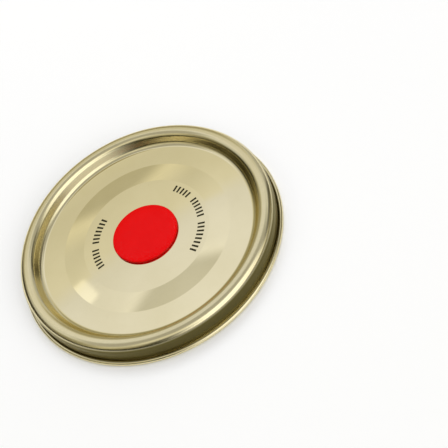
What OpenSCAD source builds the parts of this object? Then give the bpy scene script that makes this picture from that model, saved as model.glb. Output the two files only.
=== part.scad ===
// Easy open can end: a pressed metal lid with a peel-off seal over its vent hole.
// Lengths are in millimetres. The lid lies flat on its rolled edge, with that edge's
// lowest ring at z = 0 and the lid's axis on +Z, its printed side up.

/* [Skirt] */
// Inside diameter of the skirt, which goes over the mouth of the container
mouth_d = 74.4; // [60:0.1:90]
// Overall height, from the rolled edge to the top of the crown
lid_h = 7.1; // [6:0.1:10]
// Thickness of the pressed sheet
sheet_t = 0.2; // [0.14:0.01:0.3]
// Outside diameter of the roll at the bottom of the skirt
curl_d = 1.35; // [1.1:0.05:2]
// Angle through which the edge is rolled up
curl_turn = 290; // [220:5:310]

/* [Crown] */
// Clear width of the channel at the top of the recess wall, where the container's rim goes in
channel_w = 4.1; // [3.6:0.05:7]
// Rounding of the shoulder, where the crown turns down into the skirt
shoulder_r = 2.1; // [0.6:0.1:2.4]
// Rounding of the crown's inner edge, where it turns down into the recess
crown_r = 1.9; // [0.8:0.05:2.4]
// Depth of the recess, from the top of the crown to the panel
recess_depth = 3.3; // [2.6:0.05:4.5]
// Fillet between the panel and the wall of the recess
foot_r = 1.6; // [0.5:0.05:2]
// Angle by which the wall of the recess leans outward as it rises
wall_draft = 25; // [10:1:40]

/* [Panel] */
// Width of the flat ring between the foot of the wall and the slope
ring_w = 6.25; // [4:0.05:9]
// Width of the shallow slope up to the middle of the panel
slope_w = 6; // [3:0.1:8]
// How far the middle of the panel stands above the flat ring
slope_rise = 0.2; // [0.05:0.05:0.6]
// Diameter of the vent hole that lets the vacuum go
vent_d = 4; // [2:0.1:8]

/* [Peel seal] */
// Diameter of the seal
seal_d = 19.1; // [12:0.1:24]
// Thickness of the seal at its rounded edge
seal_t = 0.9; // [0.5:0.05:1.5]
// How far the middle of the seal's top bulges above its edge
seal_dome = 0.2; // [0.05:0.05:0.6]

/* [Gasket] */
// Thickness of the sealing compound under the crown
gasket_t = 1.1; // [0.5:0.1:2]

/* [Hidden] */
// Angle of one facet in a rounded bend of the section
bend_step = 10;
// Facets across the seal's domed top, from its edge to its middle
dome_steps = 8;
// Facets round the axis
$fn = 180;

half_t = sheet_t / 2;

// Radii and heights of the sheet's middle surface
skirt_mid_r = mouth_d / 2 + half_t;
wall_top_r = mouth_d / 2 - channel_w - half_t;
crown_mid_z = lid_h - half_t;
panel_mid_z = lid_h - recess_depth - half_t;
middle_mid_z = panel_mid_z + slope_rise;

// Bend radii of the middle surface, with the crown's roundings kept within the recess and the crown
bend_rise = 1 - sin(wall_draft);
foot_mid_r = foot_r + half_t;
crown_mid_r = min(crown_r - half_t, recess_depth / bend_rise - foot_mid_r);
crown_c_r = wall_top_r + crown_mid_r * cos(wall_draft);
shoulder_mid_r = min(shoulder_r - half_t, skirt_mid_r - crown_c_r);
curl_mid_r = curl_d / 2 - half_t;

// The leaning wall takes up what the two bends leave of the recess's depth
wall_rise = recess_depth - (foot_mid_r + crown_mid_r) * bend_rise;
foot_c_r = wall_top_r - wall_rise * tan(wall_draft) - foot_mid_r * cos(wall_draft);

// Radii of the panel's rings
slope_out_r = foot_c_r - ring_w;
slope_in_r = slope_out_r - slope_w;
vent_r = vent_d / 2;

// Heights of what sits on the sheet
seal_seat_z = middle_mid_z + half_t;
gasket_face_z = lid_h - sheet_t - gasket_t;

// Points along an arc about a centre, from one angle to another
function arc(centre, r, from, to, steps) =
    [for (i = [0 : steps])
        let (a = from + (to - from) * i / steps)
        centre + r * [cos(a), sin(a)]];

// The same, with facets of about bend_step each
function bend(centre, r, from, to) =
    arc(centre, r, from, to, ceil(abs(to - from) / bend_step));

// One face of the sheet from the vent hole out to the end of the roll, half a thickness
// off its middle surface: side is 1 for the printed face and -1 for the underside
function sheet_face(side) =
    let (off = side * half_t)
    concat(
        [[vent_r, middle_mid_z + off],
         [slope_in_r, middle_mid_z + off],
         [slope_out_r, panel_mid_z + off]],
        bend([foot_c_r, panel_mid_z + foot_mid_r], foot_mid_r - off, -90, -wall_draft),
        bend([crown_c_r, crown_mid_z - crown_mid_r], crown_mid_r + off, 180 - wall_draft, 90),
        bend([skirt_mid_r - shoulder_mid_r, crown_mid_z - shoulder_mid_r], shoulder_mid_r + off, 90, 0),
        bend([skirt_mid_r + curl_mid_r, curl_d / 2], curl_mid_r - off, 180, 180 + curl_turn));

function reversed(path) = [for (i = [len(path) - 1 : -1 : 0]) path[i]];

// The part of a path that lies above a height, with its ends cut at that height
function above(path, z) =
    [for (i = [0 : len(path) - 2])
        let (p = path[i], q = path[i + 1])
        each concat(
            p.y >= z ? [p] : [],
            (p.y - z) * (q.y - z) < 0 ? [p + (q - p) * (z - p.y) / (q.y - p.y)] : [])];

// Half section of the seal: flat below, round at the edge and gently domed on top
function seal_section() =
    let (
        edge_r = seal_t / 2,
        flat_r = seal_d / 2 - edge_r,
        dome_r = (flat_r * flat_r + seal_dome * seal_dome) / (2 * seal_dome),
        dome_angle = asin(flat_r / dome_r))
    concat(
        [[0, 0]],
        bend([flat_r, edge_r], edge_r, -90, 90),
        arc([0, seal_t + seal_dome - dome_r], dome_r, 90 - dome_angle, 90, dome_steps));

// The lid itself, one pressing: panel, recess wall, crown, skirt and rolled edge
module lid_shell() {
    color([0.86, 0.82, 0.66])
        rotate_extrude()
            polygon(concat(sheet_face(1), reversed(sheet_face(-1))));
}

// The soft seal that is bonded over the vent hole and peeled off to open
module peel_seal() {
    color([0.88, 0.07, 0.09])
        translate([0, 0, seal_seat_z])
            rotate_extrude()
                polygon(seal_section());
}

// The ring of sealing compound in the top of the channel, shaped by the sheet above it
module gasket_ring() {
    color([0.90, 0.87, 0.78])
        rotate_extrude()
            polygon(above(sheet_face(-1), gasket_face_z));
}

lid_shell();
peel_seal();
gasket_ring();
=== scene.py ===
"""Looks of the easy open can end: lacquered pressing, red peel seal, sealing compound and print.

Lengths are in metres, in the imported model's frame: the lid lies on its rolled edge at z = 0,
with its axis on +Z.
"""

import math
from collections import namedtuple

import bpy
from mathutils import Matrix, Vector

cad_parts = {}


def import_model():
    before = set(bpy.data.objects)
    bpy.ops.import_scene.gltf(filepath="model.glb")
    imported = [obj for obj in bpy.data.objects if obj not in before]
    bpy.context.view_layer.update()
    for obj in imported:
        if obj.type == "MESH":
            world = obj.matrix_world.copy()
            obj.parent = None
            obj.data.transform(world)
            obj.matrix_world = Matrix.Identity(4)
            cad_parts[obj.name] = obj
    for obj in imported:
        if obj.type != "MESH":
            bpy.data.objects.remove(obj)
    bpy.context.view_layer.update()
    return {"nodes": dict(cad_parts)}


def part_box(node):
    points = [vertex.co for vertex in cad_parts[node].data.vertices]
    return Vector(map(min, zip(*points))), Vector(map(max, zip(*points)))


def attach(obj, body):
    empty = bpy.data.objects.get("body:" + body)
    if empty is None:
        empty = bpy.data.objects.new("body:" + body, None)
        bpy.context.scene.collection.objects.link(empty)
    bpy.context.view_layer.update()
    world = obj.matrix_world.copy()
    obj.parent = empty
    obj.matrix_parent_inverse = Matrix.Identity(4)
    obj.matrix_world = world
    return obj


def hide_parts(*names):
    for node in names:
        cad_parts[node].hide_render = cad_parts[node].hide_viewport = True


MM = 0.001

# The pressing's section, as in the part's source
SHEET_T = 0.2 * MM
MOUTH_R = 37.2 * MM
CHANNEL_W = 4.1 * MM
RECESS_DEPTH = 3.3 * MM
FOOT_R = 1.6 * MM
WALL_DRAFT_DEG = 25
CROWN_R = 1.9 * MM
SHOULDER_R = 2.1 * MM
CURL_D = 1.35 * MM
CURL_TURN_DEG = 290
RING_W = 6.25 * MM
SLOPE_W = 6 * MM
SLOPE_RISE = 0.2 * MM
VENT_R = 2 * MM

# The seal's rounded edge, as high as the seal without its dome, and how late the dome falls off
SEAL_EDGE_T = 0.9 * MM
SEAL_DOME_POWER = 6

# Fineness of the turned meshes. A straight of the section has a guard point near each of its
# ends, at most a share of its length away
TURN_STEPS = 256
BEND_STEP_DEG = 5
STRAIGHT_PARTS = 3
GUARD = 0.03 * MM
GUARD_SHARE = 0.25
DOME_STEPS = 24
SHARP_DEG = 40

# Print: two arcs of plain bars round the seal. Each arc has the radius of its middle line,
# the angle in degrees where it starts and the number of bars in each of its groups
BAR_H = 2.05 * MM
BAR_W = 0.58 * MM
BAR_T = 0.012 * MM
BAR_PITCH = 1.25 * MM
GROUP_GAP = 1.5 * MM
PRINT_ARCS = (
    (15.1 * MM, 120, (7, 6)),
    (16.3 * MM, -60, (8, 6, 5)),
)
BAR_FACES = ((0, 2, 3, 1), (4, 5, 7, 6), (0, 1, 5, 4), (1, 3, 7, 5), (3, 2, 6, 7), (2, 0, 4, 6))

# Colours and roughnesses go from the first value to the second where noise goes from one of
# these values to the other
NOISE_SPAN = (0.3, 0.7)

# Lacquered sheet. Its grain is drawn out along X, the way the sheet was rolled
GOLD = ((0.82, 0.735, 0.455), (0.87, 0.785, 0.505))
GOLD_EDGE = (0.92, 0.88, 0.72, 1)
SHEET_ROUGHNESS = (0.02, 0.05)
GRAIN_STRETCH = (0.04, 1, 1)
GRAIN_DEPTH = 0.003 * MM

# Painted shade: the lacquer's colour is darkened where the sheet is drawn down into the skirt, in place
# of the dark surroundings the skirt mirrors
PAINTED_SKIRT_SHADE_R = (36.87 * MM, 37.36 * MM)
PAINTED_SKIRT_SHADE_Z = (1.3 * MM, 1.8 * MM)
PAINTED_SKIRT_SHADE = (0.125, 0.115, 0.06)

# The sheet is duller from the foot of the recess wall outward, where drawing has stretched it
DRAWN_R = (30.9 * MM, 31.6 * MM)
DRAWN_ROUGHNESS = 0.17

# Soft plastic of the seal
RED = ((0.73, 0.001, 0.002), (0.76, 0.002, 0.003))
SEAL_ROUGHNESS = (0.16, 0.22)
SEAL_RELIEF = 0.01 * MM
SEAL_GLOSS = 0.09

# Sealing compound
COMPOUND_CREAM = ((0.70, 0.64, 0.47), (0.78, 0.73, 0.57))
COMPOUND_ROUGHNESS = (0.55, 0.75)
PORE_DEPTH = 0.05 * MM

# Ink
BLACK = ((0.016, 0.014, 0.005), (0.032, 0.028, 0.01))
INK_ROUGHNESS = (0.3, 0.45)
INK_GLOSS = 0.12

# Floor
FLOOR_SIZE = 6.0
PALE = ((0.945, 0.952, 0.98), (0.96, 0.967, 0.99))
FLOOR_ROUGHNESS = 0.8
FLOOR_GLOSS = 0.1

# A soft field of light, as a part of the world: the azimuth of its middle from +X towards +Y,
# its half width and the width of its faded sides, the elevation of its middle, its half height
# and the height of its faded ends, all in degrees, then its strength and colour
Field = namedtuple("Field", "azimuth half_width side_fade elevation half_height end_fade strength color")
WHITE = (1, 1, 1)
WARM = (1, 0.93, 0.68)
CREAM = (1, 0.96, 0.82)
COOL = (1, 1.02, 1.2)
ROOM = (0.025, 0.022, 0.006)
WORLD_FIELDS = (
    # Overhead, all round
    Field(0, 181, 1, 90, 35, 25, 0.40, WHITE),
    # Behind, as the panel mirrors it: its far half, its near half, more towards the near side,
    # and the near side of its slope
    Field(90, 26, 8, 45.25, 2.45, 1.2, 0.40, CREAM),
    Field(90, 26, 8, 51.3, 2.4, 1.2, 0.38, COOL),
    Field(90, 26, 8, 54, 3, 6, 0.08, COOL),
    Field(90, 26, 8, 58, 2, 3.5, 0.17, WHITE),
    # Behind: low in the middle, then to the left and to the right
    Field(85, 25, 14, 20, 21, 4, 0.34, WARM),
    Field(135, 12, 6, 41, 10.5, 2.5, 0.46, WHITE),
    Field(42, 10, 12, 29, 21, 5, 0.46, WHITE),
    # A small window, mirrored in the slope
    Field(103.6, 2.6, 0.5, 49.1, 1.1, 0.5, 0.3, WHITE),
    # In front: high and low
    Field(300, 26, 34, 45, 20, 10, 1.05, WHITE),
    Field(280, 14, 36, 12, 14, 10, 0.68, WHITE),
    # At the right, low
    Field(345, 20, 18, 10, 16, 10, 0.25, WARM),
    # At the left: high in front, then lower and further back
    Field(225, 22, 15, 59, 8, 6, 0.34, WARM),
    Field(203, 8, 22, 34, 8, 8, 0.34, WARM),
    Field(172, 14, 20, 33, 12, 8, 0.26, WARM),
)

# Large square lamps, each with its name, azimuth and elevation in degrees, and power in watts
LAMP_DISTANCE = 1.2
LAMP_SIZE = 0.8
LAMPS = (
    ("back_lamp", 75, 66, 6.4),
    ("front_lamp", 290, 30, 2.2),
)

# The camera: the lid's panel as the photograph shows it, in pixels of a 448 square frame
FRAME_PX = 448
SENSOR_MM = 36
FOCAL_PX = 1000
CLIP_START = 10 * MM
CAMERA_ELEVATION_DEG = 48.29
CAMERA_DISTANCE = 277.7 * MM
CAMERA_ROLL_DEG = -34.20
PANEL_MIDDLE_PX = (145.92, 234.66)


def straight(p, q):
    """Points between two ends, with one close to each end to keep the shading of a flat face flat."""
    p, q = Vector(p), Vector(q)
    near = min(GUARD / (q - p).length, GUARD_SHARE)
    shares = [near] + [i / STRAIGHT_PARTS for i in range(1, STRAIGHT_PARTS)] + [1 - near]
    return [tuple(p.lerp(q, share)) for share in shares]


def bend(centre, radius, start_deg, end_deg):
    """Points along an arc, both ends included."""
    steps = math.ceil(abs(end_deg - start_deg) / BEND_STEP_DEG)
    angles = [math.radians(start_deg + (end_deg - start_deg) * i / steps) for i in range(steps + 1)]
    return [(centre[0] + radius * math.cos(a), centre[1] + radius * math.sin(a)) for a in angles]


def joined(runs):
    """Runs of points one after another, with a straight between each run and the next."""
    path = list(runs[0])
    for run in runs[1:]:
        path += straight(path[-1], run[0])
        path += run
    return path


def sheet_face(side, lid_h):
    """One face of the sheet from the vent hole to the end of the roll: side 1 is the printed face."""
    half = SHEET_T / 2
    off = side * half
    draft = math.radians(WALL_DRAFT_DEG)
    skirt_r = MOUTH_R + half
    wall_top_r = MOUTH_R - CHANNEL_W - half
    crown_z = lid_h - half
    panel_z = lid_h - RECESS_DEPTH - half
    foot = FOOT_R + half
    crown = CROWN_R - half
    shoulder = SHOULDER_R - half
    curl = CURL_D / 2 - half
    wall_rise = RECESS_DEPTH - (foot + crown) * (1 - math.sin(draft))
    crown_r = wall_top_r + crown * math.cos(draft)
    foot_r = wall_top_r - wall_rise * math.tan(draft) - foot * math.cos(draft)
    slope_out_r = foot_r - RING_W
    return joined([
        [(VENT_R, panel_z + SLOPE_RISE + off)],
        [(slope_out_r - SLOPE_W, panel_z + SLOPE_RISE + off)],
        [(slope_out_r, panel_z + off)],
        bend((foot_r, panel_z + foot), foot - off, -90, -WALL_DRAFT_DEG),
        bend((crown_r, crown_z - crown), crown + off, 180 - WALL_DRAFT_DEG, 90),
        bend((skirt_r - shoulder, crown_z - shoulder), shoulder + off, 90, 0),
        bend((skirt_r + curl, CURL_D / 2), curl - off, 180, 180 + CURL_TURN_DEG),
    ])


def placed(name, data):
    """A new object in the scene, for a mesh, a lamp or a camera."""
    obj = bpy.data.objects.new(name, data)
    bpy.context.scene.collection.objects.link(obj)
    return obj


def turned(name, section, closed):
    """A mesh turned about Z from a section of (radius, height) points. Where the section isn't
    closed, its two ends lie on the axis."""
    verts, rings = [], []
    for r, z in section:
        if r < GUARD:
            rings.append([len(verts)] * TURN_STEPS)
            verts.append((0, 0, z))
            continue
        rings.append(range(len(verts), len(verts) + TURN_STEPS))
        for i in range(TURN_STEPS):
            a = 2 * math.pi * i / TURN_STEPS
            verts.append((r * math.cos(a), r * math.sin(a), z))
    faces = []
    last = len(rings) if closed else len(rings) - 1
    for k in range(last):
        low, high = rings[k], rings[(k + 1) % len(rings)]
        for i in range(TURN_STEPS):
            j = (i + 1) % TURN_STEPS
            corners = [low[i], low[j], high[j], high[i]]
            faces.append(list(dict.fromkeys(corners)))
    mesh = bpy.data.meshes.new(name)
    mesh.from_pydata(verts, [], faces)
    mesh.validate()
    mesh.shade_smooth()
    mesh.set_sharp_from_angle(angle=math.radians(SHARP_DEG))
    return placed(name, mesh)


def lid_skin(material):
    """The pressing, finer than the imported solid's mesh and of the same section."""
    lid_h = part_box("lid_shell")[1].z
    printed = sheet_face(1, lid_h)
    under = sheet_face(-1, lid_h)
    obj = turned("lid_skin", under + printed[::-1], closed=True)
    obj.data.materials.append(material)
    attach(obj, "root")
    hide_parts("lid_shell")


def seal_skin(material):
    """The seal: flat below, round at its edge and domed on top, mostly towards its rim."""
    low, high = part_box("peel_seal")
    edge_r = SEAL_EDGE_T / 2
    flat_r = high.x - edge_r
    dome = high.z - low.z - SEAL_EDGE_T
    edge = bend((flat_r, low.z + edge_r), edge_r, -90, 90)
    shares = [1 - i / DOME_STEPS for i in range(1, DOME_STEPS + 1)]
    top = [(flat_r * share, high.z - dome * share ** SEAL_DOME_POWER) for share in shares]
    section = [(0, low.z)] + straight((0, low.z), edge[0]) + edge + top
    obj = turned("seal_skin", section, closed=False)
    obj.data.materials.append(material)
    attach(obj, "root")
    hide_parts("peel_seal")


def add_bar(verts, faces, radius, angle, seat):
    """One upright bar: a closed thin plate between two radii and two angles."""
    first = len(verts)
    half = BAR_W / 2 / radius
    for z in (seat, seat + BAR_T):
        for r in (radius - BAR_H / 2, radius + BAR_H / 2):
            for a in (angle - half, angle + half):
                verts.append((r * math.cos(a), r * math.sin(a), z))
    for face in BAR_FACES:
        faces.append([first + k for k in face])


def print_bars(material):
    """Thin bars of ink on the panel's raised middle."""
    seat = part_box("peel_seal")[0].z
    verts, faces = [], []
    for radius, start_deg, groups in PRINT_ARCS:
        angle = math.radians(start_deg)
        for count in groups:
            for i in range(count):
                add_bar(verts, faces, radius, angle, seat)
                angle += BAR_PITCH / radius
            angle += GROUP_GAP / radius
    mesh = bpy.data.meshes.new("print_bars")
    mesh.from_pydata(verts, [], faces)
    mesh.validate()
    obj = placed("print_bars", mesh)
    obj.data.materials.append(material)
    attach(obj, "root")


class Nodes:
    """A material with its Principled shader, and short ways to add nodes to it."""

    def __init__(self, name):
        self.material = bpy.data.materials.new(name)
        self.material.use_nodes = True
        self.tree = self.material.node_tree
        self.shader = self.tree.nodes["Principled BSDF"]

    def add(self, kind, **settings):
        """A new node with some of its settings."""
        node = self.tree.nodes.new(kind)
        for key, value in settings.items():
            setattr(node, key, value)
        return node

    def link(self, output, socket):
        """A link from a node's output to a socket."""
        self.tree.links.new(output, socket)

    def socket(self, name):
        """One of the shader's own sockets, named with underscores for spaces."""
        return self.shader.inputs[name.replace("_", " ")]

    def constants(self, **values):
        """Plain values on the shader's own sockets."""
        for name, value in values.items():
            self.socket(name).default_value = value

    def wire(self, **outputs):
        """Outputs of nodes linked to the shader's own sockets."""
        for name, output in outputs.items():
            self.link(output, self.socket(name))

    def place(self):
        """Where a point is in the object's own space."""
        return self.add("ShaderNodeTexCoord").outputs["Object"]

    def height(self):
        """How high a point stands on Z."""
        axes = self.add("ShaderNodeSeparateXYZ")
        self.link(self.place(), axes.inputs["Vector"])
        return axes.outputs["Z"]

    def radius(self):
        """How far a point is from the Z axis."""
        flat = self.add("ShaderNodeVectorMath", operation="MULTIPLY")
        flat.inputs[1].default_value = (1, 1, 0)
        length = self.add("ShaderNodeVectorMath", operation="LENGTH")
        self.link(self.place(), flat.inputs[0])
        self.link(flat.outputs["Vector"], length.inputs[0])
        return length.outputs["Value"]

    def noise(self, scale, detail, stretch=(1, 1, 1)):
        """Noise in the object's own space, drawn out along an axis where its stretch is small."""
        mapping = self.add("ShaderNodeMapping")
        mapping.inputs["Scale"].default_value = stretch
        texture = self.add("ShaderNodeTexNoise")
        texture.inputs["Scale"].default_value = scale
        texture.inputs["Detail"].default_value = detail
        self.link(self.place(), mapping.inputs["Vector"])
        self.link(mapping.outputs["Vector"], texture.inputs["Vector"])
        return texture.outputs["Fac"]

    def color(self, noise, colors):
        """A colour between two, by noise."""
        ramp = self.add("ShaderNodeValToRGB")
        for element, position, color in zip(ramp.color_ramp.elements, NOISE_SPAN, colors):
            element.position = position
            element.color = (*color, 1)
        self.link(noise, ramp.inputs["Fac"])
        return ramp.outputs["Color"]

    def dimmed(self, color, factor, tint):
        """A colour multiplied by a tint where a factor is 1."""
        mix = self.add("ShaderNodeMix", data_type="RGBA", blend_type="MULTIPLY")
        mix.inputs["B"].default_value = (*tint, 1)
        self.link(factor, mix.inputs["Factor"])
        self.link(color, mix.inputs["A"])
        return mix.outputs["Result"]

    def value(self, noise, values):
        """A number between two, by noise."""
        span = self.add("ShaderNodeMapRange")
        span.inputs["From Min"].default_value, span.inputs["From Max"].default_value = NOISE_SPAN
        span.inputs["To Min"].default_value, span.inputs["To Max"].default_value = values
        self.link(noise, span.inputs["Value"])
        return span.outputs["Result"]

    def raised(self, value, factor, amount):
        """A number that is higher by an amount where a factor is 1."""
        total = self.add("ShaderNodeMath", operation="MULTIPLY_ADD")
        total.inputs[1].default_value = amount
        self.link(factor, total.inputs[0])
        self.link(value, total.inputs[2])
        return total.outputs["Value"]

    def above(self, value, limits):
        """0 up to the first limit and 1 from the second."""
        span = self.add("ShaderNodeMapRange", interpolation_type="SMOOTHSTEP")
        span.inputs["From Min"].default_value, span.inputs["From Max"].default_value = limits
        self.link(value, span.inputs["Value"])
        return span.outputs["Result"]

    def both(self, first, second):
        """The product of two factors."""
        product = self.add("ShaderNodeMath", operation="MULTIPLY")
        self.link(first, product.inputs[0])
        self.link(second, product.inputs[1])
        return product.outputs["Value"]

    def relief(self, noise, strength, depth):
        """Normals bent by relief of a depth."""
        bump = self.add("ShaderNodeBump")
        bump.inputs["Strength"].default_value = strength
        bump.inputs["Distance"].default_value = depth
        self.link(noise, bump.inputs["Height"])
        return bump.outputs["Normal"]


def lacquered_tinplate():
    """Clear gold lacquer on bright rolled sheet, with the sheet's rolling grain along X, and painted
    shade darkening the skirt.
    """
    m = Nodes("lacquered_tinplate")
    gold = m.color(m.noise(scale=70, detail=3), GOLD)
    # Painted shade: the skirt's colour is darkened by radius and height, standing in for the dark
    # surroundings it mirrors
    painted_shade = m.both(m.above(m.radius(), PAINTED_SKIRT_SHADE_R), m.above(m.height(), PAINTED_SKIRT_SHADE_Z))
    grain = m.noise(scale=2600, detail=2, stretch=GRAIN_STRETCH)
    drawn = m.above(m.radius(), DRAWN_R)
    m.wire(
        Base_Color=m.dimmed(gold, painted_shade, PAINTED_SKIRT_SHADE),
        Roughness=m.raised(m.value(grain, SHEET_ROUGHNESS), drawn, DRAWN_ROUGHNESS),
        Normal=m.relief(grain, strength=0.04, depth=GRAIN_DEPTH),
    )
    m.constants(Metallic=1.0, Specular_Tint=GOLD_EDGE)
    return m.material


def seal_red():
    """Smooth soft plastic, a little uneven in colour and gloss."""
    m = Nodes("seal_red")
    surface = m.noise(scale=400, detail=2)
    m.wire(
        Base_Color=m.color(m.noise(scale=220, detail=2), RED),
        Roughness=m.value(surface, SEAL_ROUGHNESS),
        Normal=m.relief(surface, strength=0.03, depth=SEAL_RELIEF),
    )
    m.constants(Specular_IOR_Level=SEAL_GLOSS)
    return m.material


def sealing_compound():
    """Matt cream compound, flowed in and cured, with fine pores."""
    m = Nodes("sealing_compound")
    pores = m.noise(scale=1400, detail=3)
    m.wire(
        Base_Color=m.color(m.noise(scale=160, detail=3), COMPOUND_CREAM),
        Roughness=m.value(pores, COMPOUND_ROUGHNESS),
        Normal=m.relief(pores, strength=0.25, depth=PORE_DEPTH),
    )
    return m.material


def black_ink():
    """Printed ink, a little thinner in places."""
    m = Nodes("black_ink")
    m.wire(
        Base_Color=m.color(m.noise(scale=1800, detail=2), BLACK),
        Roughness=m.value(m.noise(scale=2400, detail=2), INK_ROUGHNESS),
    )
    m.constants(Specular_IOR_Level=INK_GLOSS)
    return m.material


def pale_floor():
    """Matt pale surface, a little uneven in colour."""
    m = Nodes("pale_floor")
    m.wire(Base_Color=m.color(m.noise(scale=3, detail=2), PALE))
    m.constants(Roughness=FLOOR_ROUGHNESS, Specular_IOR_Level=FLOOR_GLOSS)
    return m.material


def floor(material):
    """Plain floor under the lid."""
    mesh = bpy.data.meshes.new("floor")
    half = FLOOR_SIZE / 2
    mesh.from_pydata(
        [(-half, -half, 0), (half, -half, 0), (half, half, 0), (-half, half, 0)],
        [],
        [(0, 1, 2, 3)],
    )
    mesh.materials.append(material)
    placed("floor", mesh)


def toward(azimuth_deg, elevation_deg):
    """Unit vector from an azimuth and an elevation."""
    a, e = math.radians(azimuth_deg), math.radians(elevation_deg)
    return Vector((math.cos(a) * math.cos(e), math.sin(a) * math.cos(e), math.sin(e)))


class World:
    """A world whose light is a sum of fields in a dim room."""

    def __init__(self, name):
        self.world = bpy.data.worlds.new(name)
        self.world.use_nodes = True
        self.tree = self.world.node_tree
        self.direction = self.tree.nodes.new("ShaderNodeTexCoord").outputs["Generated"]
        self.elevation = self.number("ARCSINE", self.along((0, 0, 1)))
        self.total = ROOM

    def put(self, value, socket):
        """A socket's value, by a link or as a constant."""
        if isinstance(value, bpy.types.NodeSocket):
            self.tree.links.new(value, socket)
        else:
            socket.default_value = value

    def number(self, operation, first, second=0.0):
        """A number worked out from one or two others."""
        node = self.tree.nodes.new("ShaderNodeMath")
        node.operation = operation
        self.put(first, node.inputs[0])
        self.put(second, node.inputs[1])
        return node.outputs["Value"]

    def vector(self, operation, first, second):
        """A node that works out something from two vectors."""
        node = self.tree.nodes.new("ShaderNodeVectorMath")
        node.operation = operation
        self.put(first, node.inputs[0])
        self.put(second, node.inputs[1])
        return node

    def along(self, axis):
        """How far the direction looked in goes along an axis."""
        return self.vector("DOT_PRODUCT", self.direction, axis).outputs["Value"]

    def within(self, angle, half, edge):
        """1 where an angle is less than half to either side, faded to 0 over the edge."""
        node = self.tree.nodes.new("ShaderNodeMapRange")
        node.interpolation_type = "SMOOTHSTEP"
        node.inputs["From Min"].default_value = math.radians(half + edge)
        node.inputs["From Max"].default_value = math.radians(half)
        self.put(self.number("ABSOLUTE", angle), node.inputs["Value"])
        return node.outputs["Result"]

    def add_field(self, field):
        """One soft field, faded at its edge, on top of the light so far."""
        ahead = self.along(toward(field.azimuth, 0))
        aside = self.along(toward(field.azimuth + 90, 0))
        turn = self.number("ARCTAN2", aside, ahead)
        climb = self.number("SUBTRACT", self.elevation, math.radians(field.elevation))
        wide = self.within(turn, field.half_width, field.side_fade)
        high = self.within(climb, field.half_height, field.end_fade)
        share = self.number("MULTIPLY", wide, high)
        light = [field.strength * part for part in field.color]
        glow = self.vector("MULTIPLY", light, share).outputs["Vector"]
        self.total = self.vector("ADD", glow, self.total).outputs["Vector"]

    def finish(self):
        """The sum becomes the scene's world."""
        self.put(self.total, self.tree.nodes["Background"].inputs["Color"])
        bpy.context.scene.world = self.world


def studio_world():
    """Dim room with soft fields of light in it."""
    world = World("studio")
    for field in WORLD_FIELDS:
        world.add_field(field)
    world.finish()


def soft_lamp(name, azimuth_deg, elevation_deg, power):
    """A large square lamp that faces the lid and isn't mirrored in it."""
    data = bpy.data.lights.new(name, "AREA")
    data.shape = "SQUARE"
    data.size = LAMP_SIZE
    data.energy = power
    lamp = placed(name, data)
    away = toward(azimuth_deg, elevation_deg)
    lamp.location = away * LAMP_DISTANCE
    lamp.rotation_mode = "QUATERNION"
    lamp.rotation_quaternion = away.to_track_quat("Z", "Y")
    lamp.visible_glossy = False


def camera():
    """Looks at the panel from the photograph's direction, with the panel's middle at its pixel."""
    e, roll = math.radians(CAMERA_ELEVATION_DEG), math.radians(CAMERA_ROLL_DEG)
    back = Vector((0, -math.cos(e), math.sin(e)))
    right = Vector((1, 0, 0))
    up = right.cross(-back)
    turned_right = math.cos(roll) * right + math.sin(roll) * up
    turned_up = -math.sin(roll) * right + math.cos(roll) * up
    half = FRAME_PX / 2
    aim = Vector(((PANEL_MIDDLE_PX[0] - half) / FOCAL_PX, (half - PANEL_MIDDLE_PX[1]) / FOCAL_PX, -1))
    offset = Vector((0, 0, -1)).rotation_difference(aim.normalized()).to_matrix()
    axes = Matrix((turned_right, turned_up, back)).transposed()
    data = bpy.data.cameras.new("camera")
    data.sensor_width = SENSOR_MM
    data.lens = FOCAL_PX * SENSOR_MM / FRAME_PX
    data.clip_start = CLIP_START
    obj = placed("camera", data)
    panel_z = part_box("lid_shell")[1].z - RECESS_DEPTH
    place = back * CAMERA_DISTANCE + Vector((0, 0, panel_z))
    obj.matrix_world = Matrix.Translation(place) @ (axes @ offset.inverted()).to_4x4()
    bpy.context.scene.camera = obj


def main():
    """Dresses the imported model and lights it."""
    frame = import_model()
    camera()
    lid_skin(lacquered_tinplate())
    seal_skin(seal_red())
    print_bars(black_ink())
    compound = frame["nodes"]["gasket_ring"]
    compound.data.materials.clear()
    compound.data.materials.append(sealing_compound())
    floor(pale_floor())
    studio_world()
    for lamp in LAMPS:
        soft_lamp(*lamp)
    bpy.context.scene.view_settings.view_transform = "Standard"


main()
